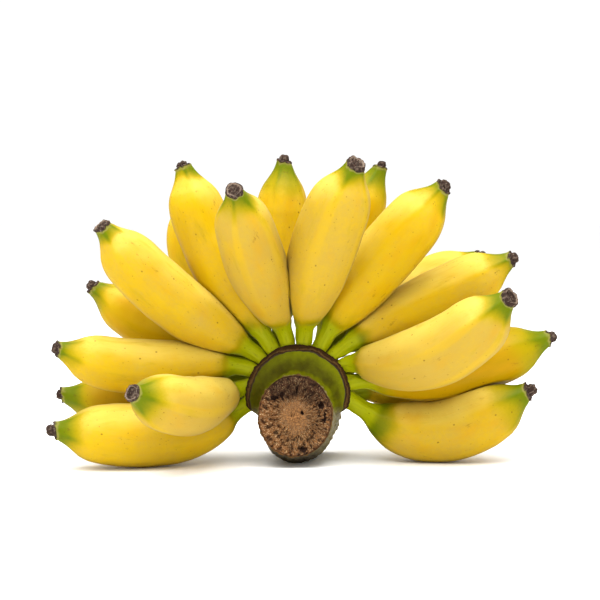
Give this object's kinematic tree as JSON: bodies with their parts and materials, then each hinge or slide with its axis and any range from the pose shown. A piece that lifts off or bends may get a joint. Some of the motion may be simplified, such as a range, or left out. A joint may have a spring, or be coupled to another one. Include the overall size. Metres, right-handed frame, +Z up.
{
  "type": "hand of small yellow bananas",
  "caption": "Hand of small, plump yellow bananas fanned in two rows round a green crown, lying on its cut bunch stalk, with short necks and dark dried tips.",
  "frame": {"origin": "on the surface the hand rests on, in the flat spot under the stalk", "axes": "+X to the right along the fan's widest spread, +Y from the cut end that faces the viewer back along the stalk, +Z up"},
  "size_m": [0.2736, 0.1408, 0.1665],
  "materials": {
    "skin": "ripe banana skin, smooth and softly waxy, yellow with green ends and dark dried tips",
    "stalk": "green banana crown and stalk with brown, dry, fibrous cut ends"
  },
  "bodies": {
    "root": {"stalk_and_crown": "stalk", "front_finger_01": "skin", "front_finger_02": "skin", "front_finger_03": "skin", "front_finger_04": "skin", "front_finger_05": "skin", "front_finger_06": "skin", "front_finger_07": "skin", "front_finger_08": "skin", "front_finger_09": "skin", "front_finger_10": "skin", "front_finger_11": "skin", "front_finger_12": "skin", "back_finger_01": "skin", "back_finger_02": "skin", "back_finger_03": "skin", "back_finger_04": "skin", "back_finger_05": "skin", "back_finger_06": "skin", "back_finger_07": "skin", "back_finger_08": "skin"}
  },
  "joints": []
}
